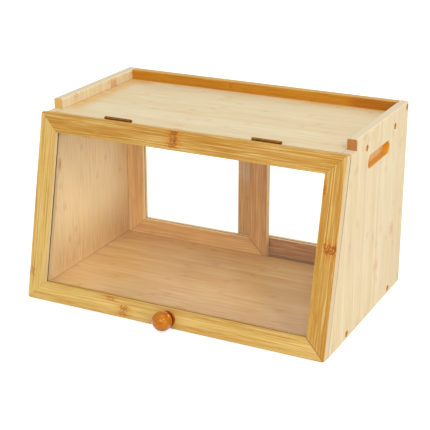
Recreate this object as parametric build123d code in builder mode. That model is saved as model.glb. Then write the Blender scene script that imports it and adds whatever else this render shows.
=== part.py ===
from build123d import *
import os
from dataclasses import dataclass
from math import atan, cos, degrees, sin, sqrt

# A bamboo bread box: a sloping lift-up front door with a clear pane, a railed tray on top,
# and two clear sliding doors at the back. Every piece is its own solid.
# Millimetres. X runs to the right as seen from the front, Y to the back and Z up.
# The origin is the middle of the underside, where the box rests.

# ---------------------------------------------------------------- Case
case_width = 400.0              # outside, over both side panels
case_depth = 250.0              # side panel, measured along the underside
top_height = 227.0              # upper face of the top board
front_lean = 50.0               # how far the front edge has leant back at top_height
side_thickness = 12.0
top_thickness = 12.0
bottom_thickness = 12.0
rail_rise = 13.0                # side and rear rails above the top board
rear_rail_thickness = 12.0
ledge_depth = 16.5              # top board left open in front of the side rails' ends
panel_round = 2.0               # rounding of the side panels' and the rear rail's edges
board_ease = 0.8                # eased front edges of the top and bottom boards

# ---------------------------------------------------------------- Hand slots
slot_length = 75.0
slot_height = 15.5
slot_depth = 8.0                # blind, so that the side panel stays closed behind it
slot_from_back = 105.5          # middle of the slot to the back edge
slot_below_top = 26.0           # middle of the slot to the top board's upper face
slot_round = 1.5

# ---------------------------------------------------------------- Case screws
case_head_diameter = 7.0
case_head_height = 2.4
case_head_sink = 3.0            # top of the head below the side panel's face
counterbore_play = 0.5          # radial, head to counterbore
case_shank_diameter = 4.0
case_shank_length = 32.0
driver_cross_length = 3.6
driver_cross_width = 0.9
driver_cross_depth = 1.3
driver_cross_share = 0.8        # the cross's depth is at most this share of the head
top_screw_from_front = 101.0    # the two screws into each end of the top board
top_screw_from_back = 50.0
bottom_screw_from_front = 58.0  # the two screws into each end of the bottom board
bottom_screw_from_back = 46.0
screw_play = 0.05               # radial, every screw in its hole
screw_tip_play = 0.5            # spare depth beyond every screw's tip

# ---------------------------------------------------------------- Front door
door_gap = 1.0                  # door's back to the sloping front edges
door_thickness = 12.0
door_member_width = 24.0        # rails and stiles
door_rise = 0.8                 # door's top edge above the top board, along the slope
door_floor_gap = 1.0            # door's bottom edge above the table
door_corner_radius = 3.0
door_face_round = 1.5           # rounding along the outer edges of the face
door_pane_thickness = 2.0
door_pane_setback = 4.5         # face of the door to the pane
pane_seat = 5.0                 # depth of the groove that holds a pane
pane_edge_play = 0.4            # pane's edge to the bottom of the groove
pane_face_play = 0.1            # pane to each wall of the groove

# ---------------------------------------------------------------- Knob
knob_drop = 1.0                 # middle of the knob below the bottom rail's middle
knob_radius = 12.0
knob_reach = 14.5               # middle of the ball in front of the door's face
knob_neck_radius = 6.0
knob_foot_radius = 10.0
knob_foot_height = 3.0
knob_foot_round = 1.2
knob_screw_head_diameter = 7.6
knob_screw_diameter = 4.0
knob_screw_grip = 11.0          # length of the screw inside the knob

# ---------------------------------------------------------------- Butt hinges
hinge_spacing = 195.5           # middle to middle
hinge_length = 36.0
hinge_barrel_radius = 2.0
hinge_axis_rise = 1.6           # barrel's middle above the door's top edge, along the slope
knuckle_count = 4
knuckle_play = 0.3
hinge_pin_radius = 0.9
hinge_pin_play = 0.05           # radial
hinge_pin_head_radius = 1.5
hinge_pin_head_height = 0.6
leaf_thickness = 0.9
leaf_width = 10.0               # barrel's middle to the leaf's far edge
leaf_gap = 0.1                  # between the two leaves of a closed hinge
leaf_screw_spacing = 22.0
leaf_screw_from_axis = 6.3
leaf_screw_head_diameter = 4.0
leaf_screw_diameter = 2.4
leaf_screw_length = 8.0
leaf_screw_cross = 2.4
barrel_play = 0.3               # barrel to the wood beside it

# ---------------------------------------------------------------- Sliding rear doors
slider_thickness = 10.0
slider_member_width = 25.0
slider_overlap = 48.0           # the two doors behind each other when closed
slider_end_play = 0.5           # closed door's stile to the side panel
slider_side_play = 0.3          # door to each wall of its groove
slider_foot_play = 0.3          # door to the floor of its groove, kept as running clearance
slider_face_round = 0.8
slider_pane_thickness = 2.0
track_depth_bottom = 4.0
track_depth_top = 8.5           # deep, so that a door lifts out of the bottom groove
track_lift_play = 4.4           # free height above a door in the top groove
track_land = 3.0                # wood between the two grooves
track_rear_land = 8.0           # wood behind the rear groove

countersink_angle = 90.0
near = 0.01                     # an edge this close to a place counts as lying there

# ---------------------------------------------------------------- Derived places
front_y = -case_depth / 2
back_y = case_depth / 2
right_x = case_width / 2
inner_x = right_x - side_thickness
rail_top = top_height + rail_rise
lean = atan(front_lean / top_height)
inner_floor = bottom_thickness
inner_ceiling = top_height - top_thickness

# The seam is the sloping plane of the case's front edges. Its own axes run to the
# right, up the slope and straight out of the front.
seam = Plane(origin=(0, front_y, 0), x_dir=(1, 0, 0), z_dir=(0, -cos(lean), sin(lean)))


def on_slope(up, out, across=0.0):
    """The plane parallel to the seam, up the slope, out from it and across to the right."""
    return Plane(
        origin=seam.from_local_coords((across, up, out)), x_dir=seam.x_dir, z_dir=seam.z_dir
    )


def seam_y(height):
    """Where the sloping front edge is at a height above the table."""
    return front_y + front_lean * height / top_height


slope_top = top_height / cos(lean)
door_face = door_gap + door_thickness
door_top = slope_top + door_rise
door_foot = (door_floor_gap - door_face * sin(lean)) / cos(lean)
door_height = door_top - door_foot
knob_up = door_foot + door_member_width / 2 - knob_drop
hinge_up = door_top + hinge_axis_rise
hinge_out = door_gap / 2

groove_width = slider_thickness + 2 * slider_side_play
rear_track_y = back_y - track_rear_land - groove_width / 2
front_track_y = rear_track_y - track_land - groove_width
slider_bottom = inner_floor - track_depth_bottom + slider_foot_play
slider_top = inner_ceiling + track_depth_top - track_lift_play
slider_height = slider_top - slider_bottom
slider_width = (2 * (inner_x - slider_end_play) + slider_overlap) / 2
slider_x = inner_x - slider_end_play - slider_width / 2
slider_travel = 2 * slider_x


def save(piece, name):
    """Label a finished piece and write it to its own file."""
    piece.part.label = name
    export_step(piece.part, f"parts/{name}.step")


def touches(plane, low, high, along):
    """An edge filter: the edge's middle lies from low to high along a plane's axis."""
    return lambda edge: (
        low - near <= getattr(plane.to_local_coords(edge.center()), along) <= high + near
    )


# ---------------------------------------------------------------- Screws
@dataclass(frozen=True)
class ScrewSize:
    """A screw's diameters and lengths; head_height 0 means a countersunk head."""

    head_diameter: float
    head_height: float
    diameter: float
    length: float
    cross: float


case_screw = ScrewSize(
    case_head_diameter, case_head_height, case_shank_diameter, case_shank_length,
    driver_cross_length,
)
leaf_screw = ScrewSize(
    leaf_screw_head_diameter, 0.0, leaf_screw_diameter, leaf_screw_length, leaf_screw_cross
)
knob_screw_size = ScrewSize(
    knob_screw_head_diameter, 0.0, knob_screw_diameter, door_thickness + knob_screw_grip,
    driver_cross_length,
)
TOP = (Align.CENTER, Align.CENTER, Align.MAX)


def screws_at(seats, size):
    """Add a screw at each seat of the current part: the head's top is in the seat's plane."""
    cone = (size.head_diameter - size.diameter) / 2
    head = size.head_height or cone
    cross_depth = min(driver_cross_depth, driver_cross_share * head)
    for seat in seats:
        with Locations(seat):
            if size.head_height:
                Cylinder(size.head_diameter / 2, head, align=TOP)
            else:
                Cone(size.diameter / 2, size.head_diameter / 2, cone, align=TOP)
            with Locations((0, 0, -head)):
                Cylinder(size.diameter / 2, size.length - head, align=TOP)
            for turn in (0, 90):
                Box(
                    size.cross, driver_cross_width, cross_depth, rotation=(0, 0, turn),
                    align=TOP, mode=Mode.SUBTRACT,
                )


def screw_holes(seats, size):
    """Cut the hole of each screw that starts at a seat into the current part."""
    with Locations(*seats):
        Cylinder(
            size.diameter / 2 + screw_play, size.length + screw_tip_play, align=TOP,
            mode=Mode.SUBTRACT,
        )


# ---------------------------------------------------------------- Case screw seats
case_screw_points = [
    (front_y + top_screw_from_front, top_height - top_thickness / 2),
    (back_y - top_screw_from_back, top_height - top_thickness / 2),
    (front_y + bottom_screw_from_front, bottom_thickness / 2),
    (back_y - bottom_screw_from_back, bottom_thickness / 2),
    (back_y - rear_rail_thickness / 2, top_height + rail_rise / 2),
]
case_seats_right = [
    Location((right_x - case_head_sink, y, z), (0, 90, 0)) for y, z in case_screw_points
]
case_seats_left = [
    Location((case_head_sink - right_x, y, z), (0, -90, 0)) for y, z in case_screw_points
]
case_seats = case_seats_right + case_seats_left

# ---------------------------------------------------------------- Hinge places
hinge_x = {"left": -hinge_spacing / 2, "right": hinge_spacing / 2}
barrels = {side: on_slope(hinge_up, hinge_out, x) for side, x in hinge_x.items()}
ON_BOARD, ON_DOOR = -1, 1


def leaf_seats(owner):
    """Seats of a leaf's screws, seen from its barrel. They point at the other leaf."""
    flip = 180 if owner == ON_DOOR else 0
    return [
        Location((x, -leaf_screw_from_axis, owner * leaf_gap / 2), (flip, 0, 0))
        for x in (-leaf_screw_spacing / 2, leaf_screw_spacing / 2)
    ]


def all_leaf_seats(owner):
    """Seats of the screws of both hinges' leaves on one owner, in the box's frame."""
    return [barrel.location * seat for barrel in barrels.values() for seat in leaf_seats(owner)]


def mortise_hinges(owner):
    """Cut both hinges' leaf pockets and barrel rooms into the current part."""
    pocket_height = leaf_width + hinge_barrel_radius
    middle = owner * (leaf_gap + leaf_thickness) / 2
    for barrel in barrels.values():
        with Locations(barrel.location):
            with Locations((0, pocket_height / 2 - leaf_width, middle)):
                Box(hinge_length, pocket_height, leaf_thickness, mode=Mode.SUBTRACT)
            Cylinder(
                hinge_barrel_radius + barrel_play,
                hinge_length + knuckle_play + 2 * (hinge_pin_head_height + barrel_play),
                rotation=(0, 90, 0), mode=Mode.SUBTRACT,
            )


# ---------------------------------------------------------------- Side panels
slot_y = back_y - slot_from_back
slot_z = top_height - slot_below_top
ledge_y = seam_y(top_height) + ledge_depth
outer_face = Plane.YZ.offset(right_x)

with BuildPart() as side_panel_right:
    with BuildSketch(Plane.YZ.offset(inner_x)):
        with BuildLine():
            Polyline(
                (front_y, 0),
                (seam_y(top_height), top_height),
                (ledge_y, top_height),
                (ledge_y, rail_top),
                (back_y, rail_top),
                (back_y, 0),
                close=True,
            )
        make_face()
    extrude(amount=side_thickness)
    rail_edges = side_panel_right.edges().filter_by(Axis.Y).group_by(Axis.Z)[-1]
    back_edges = side_panel_right.edges().filter_by(Axis.Z).group_by(Axis.Y)[-1]
    fillet(rail_edges + back_edges, radius=panel_round)
    slope_edges = side_panel_right.edges().filter_by(touches(seam, 0, 0, "Z"))
    fillet(slope_edges.filter_by(GeomType.LINE).group_by(SortBy.LENGTH)[-1], radius=board_ease)
    with BuildSketch(outer_face):
        with Locations((slot_y, slot_z)):
            SlotOverall(slot_length, slot_height)
    extrude(amount=-slot_depth, mode=Mode.SUBTRACT)
    slot_rim = (
        side_panel_right.edges()
        .filter_by(touches(outer_face, 0, 0, "Z"))
        .filter_by(touches(outer_face, slot_y - slot_length / 2, slot_y + slot_length / 2, "X"))
        .filter_by(touches(outer_face, slot_z - slot_height / 2, slot_z + slot_height / 2, "Y"))
    )
    fillet(slot_rim, radius=slot_round)
    screw_holes(case_seats_right, case_screw)
    with Locations(*case_seats_right):
        with Locations((0, 0, case_head_sink)):
            Cylinder(
                case_head_diameter / 2 + counterbore_play, case_head_sink + case_head_height,
                align=TOP, mode=Mode.SUBTRACT,
            )

save(side_panel_right, "side_panel_right")

with BuildPart() as side_panel_left:
    mirror(side_panel_right.part, about=Plane.YZ)
save(side_panel_left, "side_panel_left")

# ---------------------------------------------------------------- Boards and rear rail
def sloped_board(low, high):
    """Add a board between the side panels whose front edge follows the seam."""
    with BuildSketch(Plane.YZ.offset(-inner_x)) as section:
        with BuildLine():
            Polyline(
                (seam_y(low), low), (seam_y(high), high), (back_y, high), (back_y, low),
                close=True,
            )
        make_face()
    extrude(section.sketch, amount=2 * inner_x)


def cut_tracks(level, depth):
    """Cut the sliding doors' two grooves into the current part, from a level to a depth."""
    with BuildSketch(Plane.XY.offset(level)) as grooves:
        with Locations((0, front_track_y), (0, rear_track_y)):
            Rectangle(2 * inner_x, groove_width)
    extrude(grooves.sketch, amount=depth, mode=Mode.SUBTRACT)


with BuildPart() as top_panel:
    sloped_board(inner_ceiling, top_height)
    front_edges = top_panel.edges().filter_by(Axis.X).filter_by(touches(seam, 0, 0, "Z"))
    fillet(front_edges.sort_by(Axis.Z)[-1], radius=board_ease)
    cut_tracks(inner_ceiling, track_depth_top)
    mortise_hinges(ON_BOARD)
    screw_holes(case_seats, case_screw)
    screw_holes(all_leaf_seats(ON_BOARD), leaf_screw)
save(top_panel, "top_panel")

with BuildPart() as bottom_panel:
    sloped_board(0, inner_floor)
    cut_tracks(inner_floor, -track_depth_bottom)
    screw_holes(case_seats, case_screw)
save(bottom_panel, "bottom_panel")

with BuildPart() as rear_rail:
    with BuildSketch(Plane.XY.offset(top_height)):
        with Locations((0, back_y - rear_rail_thickness / 2)):
            Rectangle(2 * inner_x, rear_rail_thickness)
    extrude(amount=rail_rise)
    fillet(rear_rail.edges().filter_by(Axis.X).group_by(Axis.Z)[-1], radius=panel_round)
    screw_holes(case_seats, case_screw)
save(rear_rail, "rear_rail")

for side, seats in (("left", case_seats_left), ("right", case_seats_right)):
    with BuildPart() as side_screws:
        screws_at(seats, case_screw)
    save(side_screws, f"side_screws_{side}")


# ---------------------------------------------------------------- Paned frames
@dataclass(frozen=True)
class PanedFrame:
    """Four mitred members round a pane; `back` is centred on the back of the frame."""

    back: Plane
    width: float
    height: float
    thickness: float
    member_width: float
    corner_radius: float
    face_round: float
    pane_thickness: float
    pane_back: float

    def edge(self, turn):
        """The plane at the middle of an outer edge, its X along the edge and its Y inwards."""
        across = self.height if turn in (0, 180) else self.width
        return Plane(self.back.location * Rotation(0, 0, turn) * Pos(0, -across / 2, 0))

    def member(self, turn):
        """The rail or stile on the edge that a turn leads to: 0 is the bottom, 90 the right."""
        edge = self.edge(turn)
        half = (self.width if turn in (0, 180) else self.height) / 2
        inset = self.member_width
        with BuildPart() as piece:
            with BuildSketch(edge):
                with BuildLine():
                    Polyline(
                        (-half, 0), (half, 0), (half - inset, inset), (inset - half, inset),
                        close=True,
                    )
                make_face()
                if self.corner_radius:
                    with Locations((0, half)):
                        RectangleRounded(
                            2 * half, 2 * half, self.corner_radius, mode=Mode.INTERSECT
                        )
            extrude(amount=self.thickness)
            on_face = piece.edges().filter_by(touches(edge, self.thickness, self.thickness, "Z"))
            outer = on_face.filter_by(touches(edge, 0, self.corner_radius / 2, "Y"))
            fillet(outer, radius=self.face_round)
            with BuildSketch(edge.offset(self.pane_back - pane_face_play)):
                with Locations((0, inset)):
                    Rectangle(2 * half, 2 * pane_seat)
            extrude(amount=self.pane_thickness + 2 * pane_face_play, mode=Mode.SUBTRACT)
        return piece.part

    def pane(self):
        """The clear pane, held in the grooves of all four members."""
        reach = 2 * (pane_seat - pane_edge_play - self.member_width)
        with BuildPart() as piece:
            with BuildSketch(self.back.offset(self.pane_back)):
                Rectangle(self.width + reach, self.height + reach)
            extrude(amount=self.pane_thickness)
        return piece.part


BOTTOM, RIGHT, UPPER, LEFT = 0, 90, 180, 270

# ---------------------------------------------------------------- Front door
door = PanedFrame(
    back=on_slope((door_top + door_foot) / 2, door_gap),
    width=case_width,
    height=door_height,
    thickness=door_thickness,
    member_width=door_member_width,
    corner_radius=door_corner_radius,
    face_round=door_face_round,
    pane_thickness=door_pane_thickness,
    pane_back=door_thickness - door_pane_setback - door_pane_thickness,
)
table_cut = Plane.XY.offset(door_floor_gap)
knob_seat = on_slope(knob_up, door_gap).location * Location((0, 0, 0), (180, 0, 0))

with BuildPart() as door_top_rail:
    add(door.member(UPPER))
    mortise_hinges(ON_DOOR)
    screw_holes(all_leaf_seats(ON_DOOR), leaf_screw)
save(door_top_rail, "door_top_rail")

with BuildPart() as door_bottom_rail:
    add(door.member(BOTTOM))
    split(bisect_by=table_cut, keep=Keep.TOP)
    with Locations(knob_seat):
        CounterSinkHole(
            knob_screw_diameter / 2 + screw_play,
            knob_screw_head_diameter / 2 + screw_play,
            counter_sink_angle=countersink_angle,
        )
save(door_bottom_rail, "door_bottom_rail")

for side, turn in (("left", LEFT), ("right", RIGHT)):
    with BuildPart() as door_stile:
        add(door.member(turn))
        split(bisect_by=table_cut, keep=Keep.TOP)
    save(door_stile, f"door_{side}_stile")

with BuildPart() as door_pane:
    add(door.pane())
save(door_pane, "door_pane")

# ---------------------------------------------------------------- Knob
knob_foot = on_slope(knob_up, door_face)
knob_section = Plane(origin=knob_foot.origin, x_dir=knob_foot.x_dir, z_dir=-knob_foot.y_dir)
neck_top = knob_reach - sqrt(knob_radius**2 - knob_neck_radius**2)
knob_tip = knob_reach + knob_radius

with BuildPart() as knob:
    with BuildSketch(knob_section):
        with BuildLine():
            Polyline(
                (0, knob_tip), (0, 0), (knob_foot_radius, 0), (knob_foot_radius, knob_foot_height),
                (knob_neck_radius, knob_foot_height), (knob_neck_radius, neck_top),
            )
            ThreePointArc((knob_neck_radius, neck_top), (knob_radius, knob_reach), (0, knob_tip))
        make_face()
    revolve(axis=Axis(knob_foot.origin, knob_foot.z_dir))
    foot_rims = knob.edges().filter_by(touches(knob_foot, knob_foot_height, knob_foot_height, "Z"))
    fillet(foot_rims.sort_by(SortBy.LENGTH)[-1], radius=knob_foot_round)
    screw_holes([knob_seat], knob_screw_size)
save(knob, "knob")

with BuildPart() as knob_screw:
    screws_at([knob_seat], knob_screw_size)
save(knob_screw, "knob_screw")


# ---------------------------------------------------------------- Butt hinges
def knuckle_middles(owner):
    """Middles along the barrel of the knuckles that one leaf carries."""
    pitch = hinge_length / knuckle_count
    first = 0 if owner == ON_BOARD else 1
    return [(k + 0.5) * pitch - hinge_length / 2 for k in range(first, knuckle_count, 2)]


def hinge_leaf(barrel, owner):
    """One leaf of a hinge: a plate, its knuckles round the pin and its screw holes."""
    pitch = hinge_length / knuckle_count
    notch_reach = hinge_barrel_radius + barrel_play
    with BuildPart(barrel) as leaf:
        with Locations((0, -leaf_width / 2, owner * (leaf_gap + leaf_thickness) / 2)):
            Box(hinge_length, leaf_width, leaf_thickness)
        for x in knuckle_middles(owner):
            with Locations((x, 0, 0)):
                Cylinder(hinge_barrel_radius, pitch - knuckle_play, rotation=(0, 90, 0))
        for x in knuckle_middles(-owner):
            with Locations((x, 0, 0)):
                Box(pitch + knuckle_play, 2 * notch_reach, 2 * notch_reach, mode=Mode.SUBTRACT)
        Cylinder(
            hinge_pin_radius + hinge_pin_play, hinge_length, rotation=(0, 90, 0),
            mode=Mode.SUBTRACT,
        )
        with Locations(*leaf_seats(owner)):
            CounterSinkHole(
                leaf_screw_diameter / 2 + screw_play,
                leaf_screw_head_diameter / 2 + screw_play,
                counter_sink_angle=countersink_angle,
            )
    return leaf


def hinge_pin(barrel):
    """The pin through all the knuckles, with a low round head at each end."""
    head_middle = (hinge_length + knuckle_play + hinge_pin_head_height) / 2
    with BuildPart(barrel) as pin:
        Cylinder(hinge_pin_radius, 2 * head_middle, rotation=(0, 90, 0))
        for end in (-1, 1):
            with Locations((end * head_middle, 0, 0)):
                Cylinder(hinge_pin_head_radius, hinge_pin_head_height, rotation=(0, 90, 0))
    return pin


for side, barrel in barrels.items():
    save(hinge_leaf(barrel, ON_BOARD), f"hinge_{side}_fixed_leaf")
    save(hinge_leaf(barrel, ON_DOOR), f"hinge_{side}_door_leaf")
    save(hinge_pin(barrel), f"hinge_{side}_pin")
    for owner, word in ((ON_BOARD, "fixed"), (ON_DOOR, "door")):
        with BuildPart() as leaf_screws:
            screws_at([barrel.location * seat for seat in leaf_seats(owner)], leaf_screw)
        save(leaf_screws, f"hinge_{side}_{word}_screws")

# ---------------------------------------------------------------- Sliding rear doors
for side, x, track_y in (("left", -slider_x, front_track_y), ("right", slider_x, rear_track_y)):
    slider = PanedFrame(
        back=Plane(
            origin=(x, track_y + slider_thickness / 2, (slider_bottom + slider_top) / 2),
            x_dir=(1, 0, 0), z_dir=(0, -1, 0),
        ),
        width=slider_width,
        height=slider_height,
        thickness=slider_thickness,
        member_width=slider_member_width,
        corner_radius=0.0,
        face_round=slider_face_round,
        pane_thickness=slider_pane_thickness,
        pane_back=(slider_thickness - slider_pane_thickness) / 2,
    )
    for turn, word in (
        (BOTTOM, "bottom_rail"), (RIGHT, "right_stile"), (UPPER, "top_rail"), (LEFT, "left_stile")
    ):
        with BuildPart() as slider_member:
            add(slider.member(turn))
        save(slider_member, f"rear_{side}_door_{word}")
    with BuildPart() as slider_pane:
        add(slider.pane())
    save(slider_pane, f"rear_{side}_door_pane")

# ---------------------------------------------------------------- Where the moving parts run
hinge_axis = barrels["left"].origin
print(f"front door turns about -X through y {hinge_axis.Y:.3f}, z {hinge_axis.Z:.3f}")
print(f"the door leans back {degrees(lean):.2f} degrees; its face starts {door_foot:.2f} up")
print(f"each rear door slides {slider_travel:.2f} inwards")
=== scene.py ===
"""Looks of a bamboo bread box with a sloping front door and two sliding rear doors.

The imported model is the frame. This script gives every node of it a finish, stands the box
on a pale floor under soft studio light and looks at it from the photograph's side.
Lengths are in metres, in the frame's own axes: X to the right, Y to the back, Z up.
"""

import logging
import math
from dataclasses import dataclass, field, replace
from enum import Enum
from typing import Any, Iterable, Mapping, Optional, Union

import bpy
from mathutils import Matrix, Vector


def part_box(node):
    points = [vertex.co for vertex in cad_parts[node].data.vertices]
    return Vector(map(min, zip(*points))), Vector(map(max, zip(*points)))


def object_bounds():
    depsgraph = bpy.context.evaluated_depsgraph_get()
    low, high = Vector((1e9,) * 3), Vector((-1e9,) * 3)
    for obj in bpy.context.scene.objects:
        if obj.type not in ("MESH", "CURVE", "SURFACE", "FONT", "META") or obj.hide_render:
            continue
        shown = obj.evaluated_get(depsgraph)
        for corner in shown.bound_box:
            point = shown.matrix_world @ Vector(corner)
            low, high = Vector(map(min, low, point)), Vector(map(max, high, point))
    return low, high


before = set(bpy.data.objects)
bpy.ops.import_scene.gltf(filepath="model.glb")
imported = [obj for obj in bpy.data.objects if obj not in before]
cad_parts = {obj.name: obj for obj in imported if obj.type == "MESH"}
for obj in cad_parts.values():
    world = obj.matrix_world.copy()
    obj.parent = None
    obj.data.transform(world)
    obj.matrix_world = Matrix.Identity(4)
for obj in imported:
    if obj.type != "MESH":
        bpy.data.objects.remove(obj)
cad_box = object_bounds()

LOG = logging.getLogger("bread_box")
MILLIMETRES = 1000.0

Colour = tuple[float, float, float]
Direction = tuple[float, float, float]
Number = Union[int, float]
Term = Union["Value", int, float]

WHITE: Colour = (1.0, 1.0, 1.0)
X_AXIS: Direction = (1.0, 0.0, 0.0)
Y_AXIS: Direction = (0.0, 1.0, 0.0)
Z_AXIS: Direction = (0.0, 0.0, 1.0)


def screen(red: Number, green: Number, blue: Number) -> Colour:
    """Turn a colour as a screen shows it into a linear one.

    Args:
        red: Red from 0 to 255.
        green: Green from 0 to 255.
        blue: Blue from 0 to 255.

    Returns:
        The colour's three linear parts, each from 0 to 1.
    """

    def linear(part: Number) -> float:
        """Undo the screen's gamma for one part."""
        share = part / 255
        return share / 12.92 if share <= 0.04045 else ((share + 0.055) / 1.055) ** 2.4

    return linear(red), linear(green), linear(blue)


# ---------------------------------------------------------------- Node trees as expressions
class Value:
    """A number that varies over a surface. Arithmetic on it adds Math nodes."""

    def __init__(self, bench: "Bench", socket: bpy.types.NodeSocket) -> None:
        """Wrap an output socket of a bench's tree."""
        self.bench = bench
        self.socket = socket

    def _math(self, operation: str, *terms: Term, clamp: bool = False) -> "Value":
        """Add one Math node.

        Args:
            operation: Blender's name of the operation.
            *terms: The node's inputs, in their order.
            clamp: Whether the result is kept from 0 to 1.

        Returns:
            The node's result.
        """
        node = self.bench.add(
            "ShaderNodeMath",
            {"operation": operation, "use_clamp": clamp},
            dict(enumerate(terms)),
        )
        return Value(self.bench, node.outputs[0])

    def __add__(self, other: Term) -> "Value":
        """self + other."""
        return self._math("ADD", self, other)

    __radd__ = __add__

    def __sub__(self, other: Term) -> "Value":
        """self - other."""
        return self._math("SUBTRACT", self, other)

    def __rsub__(self, other: Term) -> "Value":
        """other - self."""
        return self._math("SUBTRACT", other, self)

    def __mul__(self, other: Term) -> "Value":
        """self * other."""
        return self._math("MULTIPLY", self, other)

    __rmul__ = __mul__

    def __truediv__(self, other: Term) -> "Value":
        """self / other."""
        return self._math("DIVIDE", self, other)

    def __pow__(self, power: Number) -> "Value":
        """self ** power."""
        return self._math("POWER", self, power)

    def __abs__(self) -> "Value":
        """The distance from zero."""
        return self._math("ABSOLUTE", self)

    def floor(self) -> "Value":
        """The whole number below."""
        return self._math("FLOOR", self)

    def fraction(self) -> "Value":
        """What is left above the whole number below."""
        return self._math("FRACT", self)

    def larger(self, other: Term) -> "Value":
        """The larger of the two."""
        return self._math("MAXIMUM", self, other)

    def clamped(self) -> "Value":
        """The value kept from 0 to 1."""
        return self._math("ADD", self, 0.0, clamp=True)

    def rise(self, low: Number, high: Number) -> "Value":
        """A smooth step.

        Args:
            low: Where the step starts, with a result of 0.
            high: Where it ends, with a result of 1. It may be below low.

        Returns:
            A value from 0 to 1.
        """
        node = self.bench.add(
            "ShaderNodeMapRange",
            {"interpolation_type": "SMOOTHSTEP", "clamp": True},
            {"Value": self, "From Min": low, "From Max": high, "To Min": 0.0, "To Max": 1.0},
        )
        return Value(self.bench, node.outputs["Result"])


Feed = Union[Value, bpy.types.NodeSocket, Number, tuple]


class Measure(Enum):
    """What a pattern of cells measures, by Blender's name for it."""

    TO_EDGE = "DISTANCE_TO_EDGE"
    TO_CENTRE = "F1"


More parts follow.
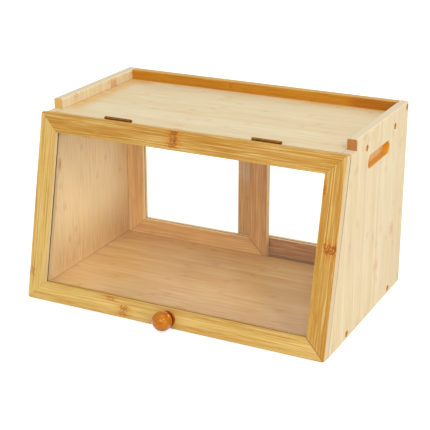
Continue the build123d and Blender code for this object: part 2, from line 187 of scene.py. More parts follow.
class Bench:
    """A node tree, and the one way to add a node to it."""

    def __init__(self, owner: Union[bpy.types.Material, bpy.types.World]) -> None:
        """Take over the tree of a material or a world, and empty it.

        Args:
            owner: The material or the world.
        """
        owner.use_nodes = True
        self.owner = owner
        self.tree = owner.node_tree
        self.tree.nodes.clear()

    @classmethod
    def of_material(cls, name: str) -> "Bench":
        """Start a new material with an empty tree."""
        return cls(bpy.data.materials.new(name))

    def add(
        self,
        kind: str,
        settings: Optional[Mapping[str, Any]] = None,
        inputs: Optional[Mapping[Union[str, int], Feed]] = None,
    ) -> bpy.types.Node:
        """Add a node.

        Args:
            kind: Blender's name of the node's type.
            settings: The node's own settings by name, set first.
            inputs: The value or link of each input socket, by the socket's name or number.

        Returns:
            The new node.
        """
        node = self.tree.nodes.new(kind)
        for name, setting in (settings or {}).items():
            setattr(node, name, setting)
        for name, feed in (inputs or {}).items():
            self._feed(node.inputs[name], feed)
        return node

    def _feed(self, socket: bpy.types.NodeSocket, feed: Feed) -> None:
        """Link a socket, or set its value.

        Args:
            socket: The input socket.
            feed: What it gets. A colour of three parts gets a fourth of 1.
        """
        if isinstance(feed, Value):
            self.tree.links.new(feed.socket, socket)
        elif isinstance(feed, bpy.types.NodeSocket):
            self.tree.links.new(feed, socket)
        elif socket.type == "RGBA" and len(feed) == 3:
            socket.default_value = (*feed, 1.0)
        else:
            socket.default_value = feed

    def value(
        self, kind: str, settings: Mapping[str, Any], inputs: Mapping[Union[str, int], Feed],
        output: str,
    ) -> Value:
        """Add a node and take one number from it.

        Args:
            kind: Blender's name of the node's type.
            settings: The node's own settings.
            inputs: The node's input values or links.
            output: The name of the output socket.

        Returns:
            The number as a value.
        """
        return Value(self, self.add(kind, settings, inputs).outputs[output])

    def mix(self, share: Term, first: Feed, second: Feed) -> bpy.types.NodeSocket:
        """Mix two colours.

        Args:
            share: How much of the second colour shows, from 0 to 1.
            first: The colour at a share of 0.
            second: The colour at a share of 1.

        Returns:
            The mixed colour's socket.
        """
        node = self.add(
            "ShaderNodeMix",
            {"data_type": "RGBA", "clamp_factor": True},
            {0: share, 6: first, 7: second},
        )
        return node.outputs[2]

    def vector(self, operation: str, *terms: Feed) -> bpy.types.NodeSocket:
        """Add one Vector Math node and take its vector."""
        node = self.add("ShaderNodeVectorMath", {"operation": operation}, dict(enumerate(terms)))
        return node.outputs["Vector"]

    def dot(self, vector: Feed, direction: Direction) -> Value:
        """How far a vector reaches along a direction."""
        settings, terms = {"operation": "DOT_PRODUCT"}, {0: vector, 1: direction}
        return self.value("ShaderNodeVectorMath", settings, terms, "Value")

    def scale(self, vector: Feed, by: Term) -> bpy.types.NodeSocket:
        """Make a vector longer or shorter."""
        node = self.add(
            "ShaderNodeVectorMath", {"operation": "SCALE"}, {"Vector": vector, "Scale": by}
        )
        return node.outputs[0]

    def place(self) -> bpy.types.NodeSocket:
        """The surface point in the box's frame at rest, in metres."""
        return self.add("ShaderNodeTexCoord").outputs["Object"]

    def place_from(self, centre: Direction) -> bpy.types.NodeSocket:
        """The surface point, counted from a point of the piece."""
        return self.vector("SUBTRACT", self.place(), centre)

    def facing(self, direction: Direction) -> Value:
        """How squarely the surface faces along a line, either way, from 0 to 1."""
        return abs(self.dot(self.add("ShaderNodeTexCoord").outputs["Normal"], direction))

    def noise(
        self, vector: Feed, scale: float = 1.0, detail: float = 2.0, roughness: float = 0.5
    ) -> Value:
        """Add a soft noise.

        Args:
            vector: Where on the noise the surface lies.
            scale: Features per unit of the vector.
            detail: How many finer layers are laid over it.
            roughness: How strong the finer layers are.

        Returns:
            A value round 0.5.
        """
        return self.value(
            "ShaderNodeTexNoise",
            {"noise_dimensions": "3D"},
            {"Vector": vector, "Scale": scale, "Detail": detail, "Roughness": roughness},
            "Fac",
        )

    def cells(self, vector: Feed, measure: Measure, randomness: float) -> Value:
        """Add a pattern of cells.

        Args:
            vector: Where on the pattern the surface lies.
            measure: Which distance is wanted.
            randomness: How uneven the cells are, from 0 to 1.

        Returns:
            The distance, in parts of a cell.
        """
        return self.value(
            "ShaderNodeTexVoronoi",
            {"feature": measure.value},
            {"Vector": vector, "Scale": 1.0, "Randomness": randomness},
            "Distance",
        )

    def bump(self, strength: float, depth: float, height: Value) -> bpy.types.NodeSocket:
        """Roughen the surface.

        Args:
            strength: How strongly the relief shows, from 0 to 1.
            depth: How many metres a height of 1 stands out.
            height: The relief.

        Returns:
            The changed normal.
        """
        inputs = {"Strength": strength, "Distance": depth, "Height": height}
        return self.add("ShaderNodeBump", {}, inputs).outputs["Normal"]

    def joined(self, x: Feed, y: Feed, z: Feed) -> bpy.types.NodeSocket:
        """Join three numbers into a vector."""
        return self.add("ShaderNodeCombineXYZ", {}, {0: x, 1: y, 2: z}).outputs[0]

    def close(self, surface: bpy.types.NodeSocket) -> bpy.types.Material:
        """Show a shader as the material's surface.

        Args:
            surface: The shader's output socket.

        Returns:
            The finished material.
        """
        self.add("ShaderNodeOutputMaterial", {}, {"Surface": surface})
        return self.owner


# ---------------------------------------------------------------- Finishes
@dataclass(frozen=True)
class Knot:
    """A ring of the culm that crosses some of a piece's strips.

    Attributes:
        along: Metres along the fibres, from the piece's middle.
        across: Metres across the strips.
        half_width: Half of how far it reaches across them.
        strength: How dark it is, from 0 to 1.
    """

    along: float
    across: float
    half_width: float
    strength: float


@dataclass(frozen=True)
class Area:
    """A part of a piece's broad face, in metres from the piece's middle.

    Attributes:
        along: Its middle along the fibres.
        across: Its middle across the strips.
        half_along: Half of its length.
        half_across: Half of its width.
    """

    along: float
    across: float
    half_along: float
    half_across: float


@dataclass(frozen=True)
class Member:
    """A frame's member, mitred at both ends, with the pane's edge in its inner side.

    Attributes:
        half_length: Half of the member's outer edge.
        half_width: Half of the member's width.
        outwards: The sign of the across direction in which the outer edge lies.
        face: The sign of the through direction in which the frame's face lies.
        start_gap: How dark the joint's line is at the low end.
        end_gap: How dark it is at the high end.
        seat: How dark the painted shade in the groove of the pane is.
    """

    half_length: float
    half_width: float
    outwards: int
    face: int
    start_gap: float
    end_gap: float
    seat: float = 0.55


@dataclass(frozen=True)
class Cut:
    """How a piece was sawn from laminated bamboo, in the box's frame.

    Attributes:
        along: The direction of the fibres.
        across: The direction from strip to strip.
        centre: A point of the piece, from which its lengths count.
        seed: Shifts the pattern, so that no two pieces are alike.
        strip_width: The width of one strip.
        knots: The rings that have a place of their own.
        hollows: The holes and pockets in its broad face, whose walls get painted shade.
        painted_shades: Places of its broad face with painted shade, warmer and darker.
        shaded_face: The sign of the through direction in which the shaded face lies.
        stain_fade: How many millimetres the painted shade fades over.
        sunk: Grooves in its broad face, which lies at face_height.
        member: Its place in a mitred frame, if it has one.
        butted: Half of its length, if its ends meet the neighbours.
        scattered: How strongly rings show at random places of the strips.
        shade: Makes the piece warmer, or paler where it is below 0.
        face_height: How far the broad face lies above the centre.
    """

    along: Direction
    across: Direction
    centre: Direction
    seed: float
    strip_width: float
    knots: tuple[Knot, ...] = ()
    hollows: tuple[Area, ...] = ()
    painted_shades: tuple[Area, ...] = ()
    shaded_face: int = 1
    stain_fade: float = 24.0
    sunk: tuple[Area, ...] = ()
    member: Optional[Member] = None
    butted: Optional[float] = None
    scattered: float = 0.0
    shade: float = 0.0
    face_height: float = 0.0


@dataclass(frozen=True)
class Streaks:
    """A soft noise that is stretched along the fibres.

    Attributes:
        along: Millimetres of one streak along the fibres.
        across: Millimetres across the strips.
        through: Millimetres through the piece.
        shift: How far the piece's seed moves the noise along.
        step: How far the noise jumps from strip to strip.
        detail: How many finer layers are laid over it.
        roughness: How strong the finer layers are.
    """

    along: float
    across: float
    through: float
    shift: float = 0.0
    step: float = 0.0
    detail: float = 2.0
    roughness: float = 0.5


class Grain:
    """The strips, fibres and rings of one piece, as values over its surface.

    Attributes:
        u: Millimetres along the fibres.
        v: Millimetres across the strips.
        w: Millimetres through the piece.
        strip: The number of the strip.
        tone: A number from 0 to 1 that is the same over a strip.
        lot: Another such number.
        ring_line: The dark lines of the rings.
        ring_halo: The zones round the rings.
        broad: Streaks some millimetres wide.
        fine: Single fibres.
        cloud: Slow changes over the piece.
        seam: The joints between strips.
    """

    swirls = Streaks(along=3.5, across=2.5, through=2.5)
    bands = Streaks(along=80.0, across=1.5, through=3.0, shift=7.3, step=3.1, roughness=0.6)
    fibres = Streaks(along=34.0, across=1.0, through=1.0, shift=3.7, detail=3.0, roughness=0.6)
    clouds = Streaks(along=90.0, across=45.0, through=45.0, shift=1.0, detail=1.0)
    frays = Streaks(along=1.6, across=1.1, through=1.6)

    # The culm's rings, in millimetres.
    ring_spacing = 230.0
    ring_wander = 7.0
    ring_cell = (5.0, 3.6)
    ring_peak = 5.0
    ring_reach = 6.5
    halo_reach = 17.0
    swirl_reach = 5.0

    # Millimetres at which a dark line starts and is full: from the mitre, then through the
    # member for the painted shade in the pane's groove and at the back edge, then along the
    # member for how that painted shade at the back edge fades.
    mitre_line = (0.9, 0.2)
    groove_shade_line = (1.5, 1.2)
    back_shade_line = (-4.4, -5.8)
    back_shade_fade = (-70.0, 100.0)

    # Metres at which the painted light of the inside starts and is full.
    inner_side = (0.1900, 0.1885)
    inner_top = (0.2240, 0.2160)

    def __init__(self, bench: Bench, cut: Cut) -> None:
        """Work out the pattern of a piece.

        Args:
            bench: The material's tree.
            cut: How the piece was sawn.
        """
        self.bench = bench
        self.cut = cut
        self.through = tuple(Vector(cut.along).cross(Vector(cut.across)))
        local = bench.place_from(cut.centre)
        self.u, self.v, self.w = (
            bench.dot(local, axis) * MILLIMETRES
            for axis in (cut.along, cut.across, self.through)
        )
        strip_place = self.v / (cut.strip_width * MILLIMETRES) + cut.seed
        self.strip = strip_place.floor()
        luck = bench.add(
            "ShaderNodeTexWhiteNoise", {"noise_dimensions": "1D"}, {"W": self.strip + 0.5}
        )
        self.tone = Value(bench, luck.outputs["Value"])
        parts = bench.add("ShaderNodeSeparateColor", {}, {0: luck.outputs["Color"]})
        self.lot = Value(bench, parts.outputs[1])
        self.seam = abs(strip_place.fraction() - 0.5).rise(0.46, 0.5)

        self.ring_line, self.ring_halo = self._rings()
        swirl = (self._streaked(self.swirls, self.v) - 0.5) * self.ring_halo
        bent = self.v + swirl * self.swirl_reach
        self.broad = self._streaked(self.bands, bent)
        self.fine = self._streaked(self.fibres, bent)
        self.cloud = self._streaked(self.clouds, self.v)

    def _streaked(self, streaks: Streaks, across: Value) -> Value:
        """Lay streaks over the piece.

        Args:
            streaks: How the streaks are stretched.
            across: Millimetres across the strips, bent where the streaks bend.

        Returns:
            A value round 0.5.
        """
        x, y = self.u / streaks.along, across / streaks.across
        if streaks.shift:
            x = x + self.cut.seed * streaks.shift
        if streaks.step:
            y = y + self.strip * streaks.step
        place = self.bench.joined(x, y, self.w / streaks.through)
        return self.bench.noise(place, detail=streaks.detail, roughness=streaks.roughness)

    def _rings(self) -> tuple[Value, Value]:
        """Find the culm's rings.

        Returns:
            The dark lines of the rings and the zones round them, each from 0 to 1.
        """
        bench, cut, u, v, w = self.bench, self.cut, self.u, self.v, self.w
        wave = bench.noise(bench.joined(cut.seed, v / 1.7, w / 3.0), detail=3.0)
        wobble = (wave - 0.5) * self.ring_wander
        every = self.ring_spacing
        nearest = abs((u / every + self.lot * 5.0).fraction() - 0.5) * every + wobble * 0.4
        line = abs(nearest - 1.6).rise(1.6, 0.3) * cut.scattered
        halo = nearest.rise(9.0, 2.0) * cut.scattered
        if not cut.knots:
            return line, halo
        long_way, wide_way = self.ring_cell
        peaks = abs((v / (wide_way * 1.7)).fraction() - 0.5) * self.ring_peak
        ragged = self._streaked(self.frays, v)
        place = bench.joined(
            (u + peaks) / long_way + cut.seed, v / wide_way + ragged * 0.6, w / wide_way
        )
        cells = bench.cells(place, Measure.TO_EDGE, randomness=1.0)
        outline = cells.rise(0.28, 0.05) * ragged.rise(0.25, 0.5)
        for knot in cut.knots:
            distance = abs(u - knot.along * MILLIMETRES + wobble * 0.6 + peaks)
            width = knot.half_width * MILLIMETRES
            inside = abs(v - knot.across * MILLIMETRES).rise(width + 1.0, width - 1.0)
            core = distance.rise(self.ring_reach, self.ring_reach - 3.0) * inside
            line = line.larger(outline * core * knot.strength)
            halo = halo.larger(distance.rise(self.halo_reach, 3.0) * inside * knot.strength)
        return line, halo

    def within(self, areas: Iterable[Area], soft: float) -> Value:
        """Find areas of the broad face.

        Args:
            areas: One area or more.
            soft: How many millimetres their edges fade over, outwards.

        Returns:
            1 inside any of them, and 0 outside.
        """
        shares = []
        for area in areas:
            half_u, half_v = area.half_along * MILLIMETRES, area.half_across * MILLIMETRES
            away_u = abs(self.u - area.along * MILLIMETRES)
            away_v = abs(self.v - area.across * MILLIMETRES)
            shares.append(away_u.rise(half_u + soft, half_u) * away_v.rise(half_v + soft, half_v))
        found = shares[0]
        for share in shares[1:]:
            found = found.larger(share)
        return found

    def within_case(self) -> Value:
        """Find what lies inside the case.

        Returns:
            1 inside it, and 0 outside.
        """
        spot = self.bench.add("ShaderNodeSeparateXYZ", {}, {0: self.bench.place()})
        aside, height = (Value(self.bench, spot.outputs[number]) for number in (0, 2))
        return abs(aside).rise(*self.inner_side) * height.rise(*self.inner_top)

    def sunken(self) -> Value:
        """Find the painted shade in the grooves of the broad face and on their rims.

        Returns:
            How dark that painted shade is, from 0 to 1.
        """
        face = self.cut.face_height * MILLIMETRES
        inside = self.w.rise(face - 0.2, face - 0.6) * self.within(self.cut.sunk, 0.5)
        rim = self.w.rise(face - 0.6, face - 0.2) * self.within(self.cut.sunk, 1.4)
        return (inside * 0.55).larger(rim * 0.5)

    def joints(self, member: Member) -> Value:
        """Find a member's dark mitres and painted shade in its pane groove and on its back edge.

        Args:
            member: The member's place in its frame.

        Returns:
            How dark the mitres and the painted shade are, from 0 to 1.
        """
        inner_half = (member.half_length - member.half_width) * MILLIMETRES
        away = abs(abs(self.u) - self.v * member.outwards - inner_half)
        strength = self.u.rise(-1.0, 1.0) * (member.end_gap - member.start_gap) + member.start_gap
        edge = member.half_width * MILLIMETRES
        # Painted shade in the pane's groove.
        groove = abs(self.w).rise(*self.groove_shade_line) * (self.v * -member.outwards).rise(0.0, 2.0)
        outer_side = (self.v * member.outwards).rise(edge - 0.6, edge - 0.1)
        # Painted shade along the back edge of the outer side, fading along the member.
        fading = self.u.rise(*self.back_shade_fade) * 0.8 + 0.2
        back_edge_shade = (self.w * member.face).rise(*self.back_shade_line) * outer_side * fading
        mitre = away.rise(*self.mitre_line) * strength
        return mitre.larger(groove * member.seat).larger(back_edge_shade)


@dataclass(frozen=True)
class Bamboo:
    """Laminated bamboo under a thin satin coat.

    Attributes:
        light: The lightest streaks.
        pale: The lightest strips' faces.
        warm: The darkest strips' faces.
        streak: The long dark fibre streaks.
        ring: The culm's rings.
        flank: Where a strip shows its side.
        end: Sawn ends, across the fibres.
        pore: The vessels on a sawn end.
        hollow_shade: Painted shade on the walls of holes and pockets.
        stain: Painted shade on some places, warmer and darker.
        flame: The orange fibres round a ring.
        gap: The line of a joint, and the painted shade in grooves and along a back edge.
        inner: Painted light on the faces inside the case, paler than outside.
        painted_inner_light: How much of that painted light shows there.
        contrast: How far the strips differ.
        streaks: How strongly the streaks show.
        seams: How strongly the joints between strips show.
        gloss: The weight of the coat.
        coat_roughness: How matt the coat is.
        roughness: How matt the wood is at least.
        specular: How strongly the wood mirrors.
        relief: How strongly the fibres stand out.
        relief_depth: How many metres they stand out.
    """

    light: Colour
    pale: Colour
    warm: Colour
    streak: Colour
    ring: Colour
    flank: Colour
    end: Colour = screen(205, 155, 85)
    pore: Colour = screen(160, 100, 40)
    hollow_shade: Colour = screen(224, 154, 36)
    stain: Colour = screen(206, 158, 72)
    flame: Colour = screen(206, 130, 34)
    gap: Colour = screen(104, 60, 16)
    # Painted light for the faces inside the case.
    inner: Colour = screen(255, 232, 178)
    painted_inner_light: float = 0.0
    contrast: float = 0.6
    streaks: float = 0.5
    seams: float = 0.3
    gloss: float = 0.12
    coat_roughness: float = 0.28
    roughness: float = 0.44
    specular: float = 0.22
    relief: float = 0.25
    relief_depth: float = 0.0002

    def material(self, name: str, cut: Cut) -> bpy.types.Material:
        """Make the finish for one piece.

        Args:
            name: The material's name.
            cut: How the piece was sawn.

        Returns:
            The material.
        """
        bench = Bench.of_material(name)
        grain = Grain(bench, cut)
        sawn = bench.facing(cut.along).rise(0.7, 0.95)
        tint = self._face(bench, grain, cut)
        tint = bench.mix(bench.facing(cut.across).rise(0.6, 0.95) * 0.85, tint, self.flank)
        tint = bench.mix(sawn, tint, self._end(bench, grain))
        # Painted shade on the walls and the deep parts of holes and pockets.
        if cut.hollows:
            walls = bench.facing(grain.through).rise(0.9, 0.6)
            deep = abs(grain.w).rise(cut.face_height * MILLIMETRES - 0.8, 0.0) * 0.9
            shown = walls.larger(deep) * grain.within(cut.hollows, 1.0)
            tint = bench.mix(shown * (0.6 + grain.broad * 0.6), tint, self.hollow_shade)
        # Painted shade in the grooves of the broad face and on their rims.
        if cut.sunk:
            tint = bench.mix(grain.sunken(), tint, self.gap)
        if cut.butted:
            end = cut.butted * MILLIMETRES
            tint = bench.mix(abs(grain.u).rise(end - 1.4, end - 0.4) * 0.45, tint, self.gap)
        # Dark mitre joints, and painted shade in the pane's groove and along the back edge.
        if cut.member:
            tint = bench.mix(grain.joints(cut.member), tint, self.gap)

        height = grain.fine * 0.6 + grain.broad * 0.3 - grain.seam * 0.8 - grain.ring_line
        shader = bench.add(
            "ShaderNodeBsdfPrincipled",
            {},
            {
                "Base Color": tint,
                "Roughness": (self.roughness + grain.fine * 0.14 + sawn * 0.2).clamped(),
                "Specular IOR Level": self.specular,
                "Coat Weight": self.gloss,
                "Coat Roughness": self.coat_roughness,
                "Normal": bench.bump(self.relief, self.relief_depth, height),
            },
        )
        return bench.close(shader.outputs[0])

    def _face(self, bench: Bench, grain: Grain, cut: Cut) -> bpy.types.NodeSocket:
        """Colour the broad face.

        Args:
            bench: The material's tree.
            grain: The piece's pattern.
            cut: How the piece was sawn.

        Returns:
            The face's colour.
        """
        shade = (grain.tone - 0.5) * self.contrast + grain.cloud * 0.9 + cut.shade
        tint = bench.mix(shade, self.pale, self.warm)
        # Painted light inside the case: its faces get a paler colour than outside.
        if self.painted_inner_light:
            tint = bench.mix(grain.within_case() * self.painted_inner_light, tint, self.inner)
        # Painted shade: chosen places of the broad face get a warmer, darker colour.
        if cut.painted_shades:
            depth = grain.within(cut.painted_shades, cut.stain_fade) * (grain.fine * 1.6)
            depth = depth * (grain.w * cut.shaded_face).rise(0.0, 1.0)
            tint = bench.mix(depth, tint, self.stain)
        tint = bench.mix(grain.broad.rise(0.5, 0.3) * self.streaks, tint, self.light)
        tint = bench.mix(grain.broad.rise(0.5, 0.68) * self.streaks, tint, self.streak)
        tint = bench.mix(grain.fine.rise(0.48, 0.28) * (self.streaks * 0.9), tint, self.light)
        tint = bench.mix(grain.fine.rise(0.52, 0.7) * (self.streaks * 0.9), tint, self.streak)
        tint = bench.mix(grain.seam * self.seams, tint, self.streak)
        flames = grain.ring_halo * (0.25 + grain.fine.rise(0.4, 0.6) * 0.75)
        tint = bench.mix(flames, tint, self.flame)
        return bench.mix(grain.ring_line * 0.9, tint, self.ring)

    def _end(self, bench: Bench, grain: Grain) -> bpy.types.NodeSocket:
        """Colour a sawn end.

        Args:
            bench: The material's tree.
            grain: The piece's pattern.

        Returns:
            The end's colour.
        """
        place = bench.joined(grain.u / 40, grain.v / 1.1, grain.w / 1.1)
        vessels = bench.cells(place, Measure.TO_CENTRE, randomness=0.9)
        return bench.mix(vessels.rise(0.34, 0.12) * 0.75, self.end, self.pore)


@dataclass(frozen=True)
class TurnedWood:
    """Turned wood under a glossy amber lacquer.

    Attributes:
        light: Between the growth lines.
        dark: The growth lines, and the painted shade on the lower side and in the groove.
        axis: The direction of the fibres, which is the turning axis.
        groove_height: Where a turned groove lies along the axis, from the centre.
        sheen: The colour that the lacquer gives to what it mirrors.
        stretch: The grain's features per unit along the fibres, against across them.
        roughness: How matt the lacquer is.
        specular: How strongly it mirrors.
        relief: How strongly the grain stands out.
        relief_depth: How many metres it stands out.
    """

    light: Colour
    dark: Colour
    axis: Direction
    groove_height: float
    sheen: Colour = (1.0, 0.66, 0.28)
    stretch: float = 0.1
    roughness: float = 0.16
    specular: float = 0.75
    relief: float = 0.05
    relief_depth: float = 0.0001

    def material(self, name: str, centre: Direction) -> bpy.types.Material:
        """Make the finish for one piece.

        Args:
            name: The material's name.
            centre: A point of the piece.

        Returns:
            The material.
        """
        bench = Bench.of_material(name)
        local = bench.place_from(centre)
        u = bench.dot(local, self.axis)
        along_axis = bench.scale(self.axis, u * (self.stretch - 1.0))
        grain = bench.noise(
            bench.vector("ADD", local, along_axis), scale=260.0, detail=3.0, roughness=0.55
        )
        cloud = bench.noise(local, scale=55.0, detail=1.0)
        # Painted shade in the turned groove between the foot and the ball.
        groove = abs(u * MILLIMETRES - self.groove_height * MILLIMETRES).rise(2.4, 1.0)
        # Painted shade on the lower side, darker downwards.
        height = bench.dot(local, Z_AXIS)
        painted_low_shade = (height * MILLIMETRES + cloud * 4.0).rise(0.0, -10.0)
        share = grain.rise(0.42, 0.72) * 0.3 + painted_low_shade + groove * 1.2
        shader = bench.add(
            "ShaderNodeBsdfPrincipled",
            {},
            {
                "Base Color": bench.mix(share, self.light, self.dark),
                "Roughness": self.roughness,
                "Specular IOR Level": self.specular,
                "Specular Tint": self.sheen,
                "Normal": bench.bump(self.relief, self.relief_depth, grain),
            },
        )
        return bench.close(shader.outputs[0])


@dataclass(frozen=True)
class AgedMetal:
    """Brass or bronze that has gone dark in its hollows.

    Attributes:
        bright: The rubbed places.
        dull: The darkened places.
        roughness: How matt the rubbed places are.
        dulled: How much of the surface has darkened.
        relief: How strongly its specks stand out.
        relief_depth: How many metres they stand out.
    """

    bright: Colour
    dull: Colour
    roughness: float = 0.34
    dulled: float = 0.5
    relief: float = 0.2
    relief_depth: float = 0.0001

    def material(self, name: str) -> bpy.types.Material:
        """Make the finish.

        Args:
            name: The material's name.

        Returns:
            The material.
        """
        bench = Bench.of_material(name)
        place = bench.place()
        stain = bench.noise(place, scale=420.0, detail=3.0, roughness=0.6)
        speck = bench.noise(place, scale=2300.0)
        share = stain.rise(0.7 - 0.3 * self.dulled, 0.3) * 0.75 + speck.rise(0.4, 0.7) * 0.25
        shader = bench.add(
            "ShaderNodeBsdfPrincipled",
            {},
            {
                "Base Color": bench.mix(share, self.bright, self.dull),
                "Metallic": 1.0 - share * 0.35,
                "Roughness": self.roughness + share * 0.22,
                "Normal": bench.bump(self.relief, self.relief_depth, speck),
            },
        )
        return bench.close(shader.outputs[0])


@dataclass(frozen=True)
class ClearPane:
    """Clear acrylic sheet: what is behind it shows, under a faint mirror.

    Attributes:
        tint: What the sheet lets through.
        roughness: How blurred its mirror is.
        mirror: How strong its mirror is where one looks straight at it.
        body: How much of the sheet itself shows, as haze.
    """

    tint: Colour = WHITE
    roughness: float = 0.03
    mirror: float = 0.02
    body: float = 0.01

    def material(self, name: str) -> bpy.types.Material:
        """Make the finish.

        Args:
            name: The material's name.

        Returns:
            The material.
        """
        bench = Bench.of_material(name)
        smear = bench.noise(bench.place(), scale=38.0, detail=3.0, roughness=0.6)
        haze = smear.rise(0.45, 0.8) * self.body
        facing = bench.value("ShaderNodeLayerWeight", {}, {"Blend": 0.5}, "Facing")
        mirror = facing**5 * (1.0 - self.mirror) + self.mirror
        clear = bench.add("ShaderNodeBsdfTransparent", {}, {"Color": self.tint})
        glossy = bench.add(
            "ShaderNodeBsdfGlossy", {}, {"Color": WHITE, "Roughness": self.roughness}
        )
        mixed = bench.add(
            "ShaderNodeMixShader",
            {},
            {0: (mirror + haze).clamped(), 1: clear.outputs[0], 2: glossy.outputs[0]},
        )
        return bench.close(mixed.outputs[0])


# ---------------------------------------------------------------- Helpers for the pieces
class Side(Enum):
    """The two hands of the box, as the sign of X."""

    LEFT = -1
    RIGHT = 1

    @property
    def word(self) -> str:
        """The side as node names spell it."""
        return self.name.lower()


def middle(node: str) -> Direction:
    """The middle of a node's box, in the frame."""
    low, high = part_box(node)
    return tuple((low + high) / 2)


def finish_node(node: str, material: bpy.types.Material) -> None:
    """Give a node its material.

    Args:
        node: The node's name.
        material: The finish for all of it.
    """
    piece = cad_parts[node]
    if not piece.material_slots:
        piece.data.materials.append(material)
    for slot in piece.material_slots:
        slot.material = material
    LOG.info("%s: %s", node, material.name)


